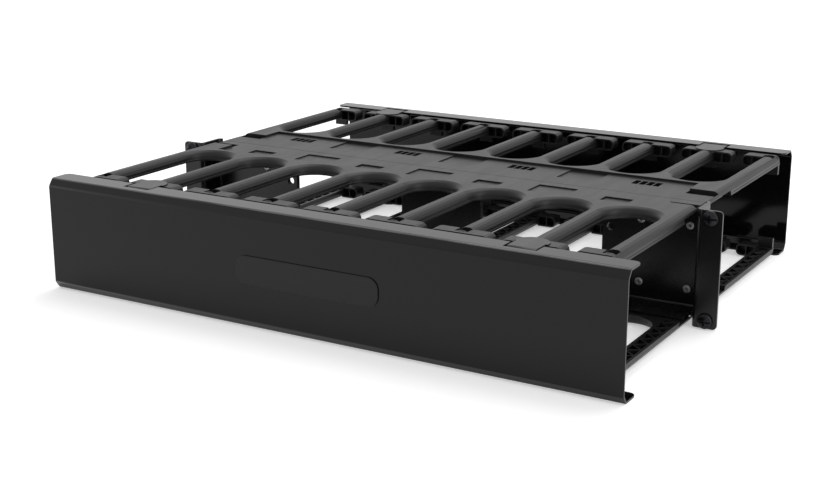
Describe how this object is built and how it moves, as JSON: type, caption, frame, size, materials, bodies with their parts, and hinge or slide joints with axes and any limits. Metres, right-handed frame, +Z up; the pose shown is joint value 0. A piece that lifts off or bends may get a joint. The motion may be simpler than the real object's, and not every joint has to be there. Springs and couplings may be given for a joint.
{
  "type": "horizontal cable manager",
  "caption": "Horizontal rack cable manager: a folded steel frame with pass-through windows, moulded finger combs above and below, and hinged covers front and rear.",
  "frame": {"origin": "on the seating face of the rack ears, at mid width and mid height", "axes": "+X to the right, +Y from the front to the back, +Z up"},
  "size_m": [0.4826, 0.4016, 0.0886],
  "materials": {
    "powder_coat": "semi-gloss black powder coat on folded sheet steel",
    "comb_moulding": "fine-textured black moulded plastic",
    "clip_moulding": "satin black moulded plastic",
    "badge": "bare satin black plate",
    "rivet": "grey steel rivet",
    "screw": "black-finished steel screw"
  },
  "bodies": {
    "manager": {"frame_front": "powder_coat", "frame_rear": "powder_coat", "rivets_left": "rivet", "rivets_right": "rivet", "rack_screws": "screw", "comb_front_upper": "comb_moulding", "comb_front_lower": "comb_moulding", "comb_rear_upper": "comb_moulding", "comb_rear_lower": "comb_moulding", "clip_front_upper_left": "clip_moulding", "clip_front_upper_right": "clip_moulding", "clip_front_lower_left": "clip_moulding", "clip_front_lower_right": "clip_moulding", "clip_rear_upper_left": "clip_moulding", "clip_rear_upper_right": "clip_moulding", "clip_rear_lower_left": "clip_moulding", "clip_rear_lower_right": "clip_moulding"},
    "front_cover": {"cover_front": "powder_coat", "badge_plate": "badge"},
    "rear_cover": {"cover_rear": "powder_coat"}
  },
  "joints": [
    {"name": "front_cover_hinge", "type": "hinge", "parent": "manager", "child": "front_cover", "pos_m": [0, -0.1538, 0.0405], "axis": [-1, 0, 0], "range_deg": [0, 100]},
    {"name": "rear_cover_hinge", "type": "hinge", "parent": "manager", "child": "rear_cover", "pos_m": [0, 0.2172, 0.0405], "axis": [1, 0, 0], "range_deg": [0, 100]}
  ]
}
